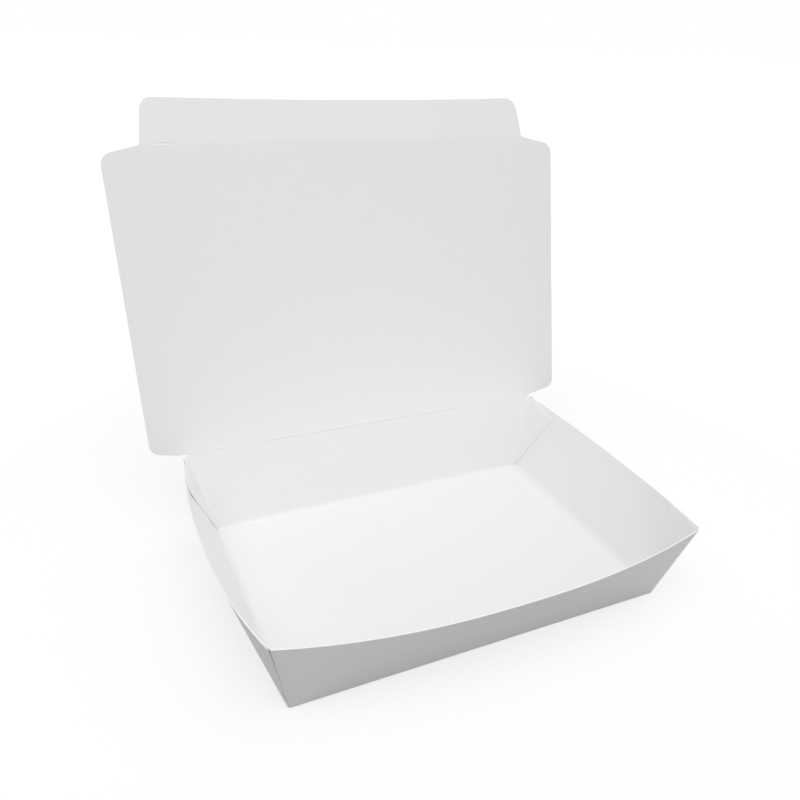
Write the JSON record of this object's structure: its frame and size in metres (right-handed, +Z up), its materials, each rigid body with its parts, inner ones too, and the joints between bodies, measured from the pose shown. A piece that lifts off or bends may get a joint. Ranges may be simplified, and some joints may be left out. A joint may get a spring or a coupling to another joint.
{
  "type": "takeaway box",
  "caption": "Folded paperboard takeaway box: shallow tray with flared walls, hinged lid with overhanging side wings, and a tuck flap.",
  "frame": {"origin": "centre of the base's underside, on the surface the box stands on", "axes": "+X to the right along the lid's hinge, +Y from the front wall towards the hinge, +Z up"},
  "size_m": [0.2358, 0.1984, 0.2014],
  "materials": {
    "board": "matt white coated paperboard"
  },
  "bodies": {
    "tray": {"tray": "board"},
    "lid": {"lid": "board"},
    "flap": {"tuck_flap": "board"}
  },
  "joints": [
    {"name": "lid_hinge", "type": "hinge", "parent": "tray", "child": "lid", "pos_m": [0, 0.07228, 0.04242], "axis": [1, 0, 0], "range_deg": [-75.5, 104.5]},
    {"name": "flap_crease", "type": "hinge", "parent": "lid", "child": "flap", "pos_m": [0, 0.10845, 0.1823], "axis": [1, 0, 0], "range_deg": [-26.3, 113.7]}
  ]
}
